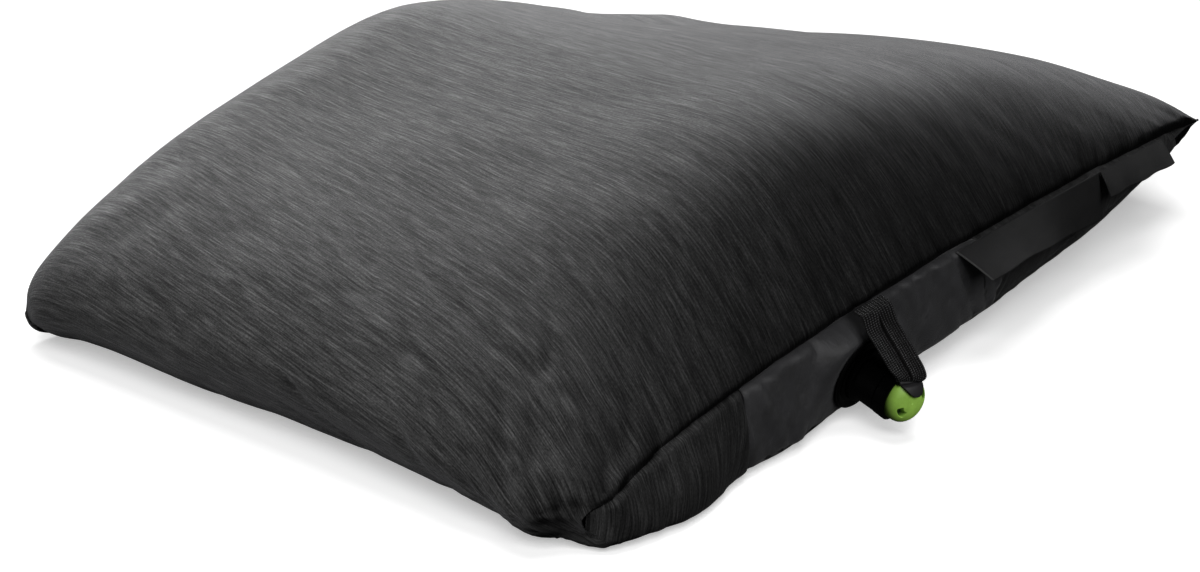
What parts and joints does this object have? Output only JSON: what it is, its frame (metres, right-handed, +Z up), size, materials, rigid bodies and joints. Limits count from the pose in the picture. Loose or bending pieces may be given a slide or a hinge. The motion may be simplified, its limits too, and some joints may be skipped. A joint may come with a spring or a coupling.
{
  "type": "inflatable camp pillow",
  "caption": "Inflated camp pillow with a heathered jersey cover, a cradled top, a push-pull air valve on its front side, an elastic loop that holds the valve's knob, and blank sewn labels.",
  "frame": {"origin": "on the floor, under the middle of the pillow's length and width, in the plane of its underside", "axes": "+X along the pillow's length, towards the end with the raised corner; -Y towards the side that carries the valve; +Z up through the pillow's thickness"},
  "size_m": [0.5229, 0.3753, 0.1203],
  "materials": {
    "jersey": "charcoal heathered knit, brushed",
    "taffeta": "black coated taffeta with a slight sheen",
    "batting": "loose polyester batting",
    "film": "coated fabric film",
    "valve_black": "gloss black",
    "knob_green": "lime green, satin",
    "rubber_black": "soft black",
    "webbing": "black knitted elastic",
    "satin": "black woven satin"
  },
  "bodies": {
    "pillow": {"top_cover": "jersey", "bottom_cover": "jersey", "front_gusset_near": "jersey", "valve_panel": "taffeta", "front_gusset_far": "jersey", "rear_gusset": "jersey", "insulation_pad": "batting", "bladder_upper_film": "film", "bladder_lower_film": "film", "bladder_baffle_1": "film", "bladder_baffle_2": "film", "bladder_baffle_3": "film", "stow_pocket": "taffeta", "valve_flange": "valve_black", "valve_housing": "valve_black", "flap_seat": "valve_black", "elastic_loop": "webbing", "main_label": "satin", "side_label": "satin"},
    "knob": {"valve_knob": "knob_green", "valve_stem": "valve_black", "stem_seal": "rubber_black", "leash_tab": "rubber_black"},
    "flap": {"check_flap": "rubber_black"}
  },
  "joints": [
    {"name": "knob_pull", "type": "slide", "parent": "pillow", "child": "knob", "axis": [0, -0.9659, -0.2588], "range_m": [0, 0.008], "deforming": ["elastic_loop"]},
    {"name": "flap_hinge", "type": "hinge", "parent": "pillow", "child": "flap", "pos_m": [-0.066, -0.16423, 0.03547], "axis": [1, 0, 0], "range_deg": [0, 30], "stiffness_Nm_per_rad": 0.00002}
  ]
}
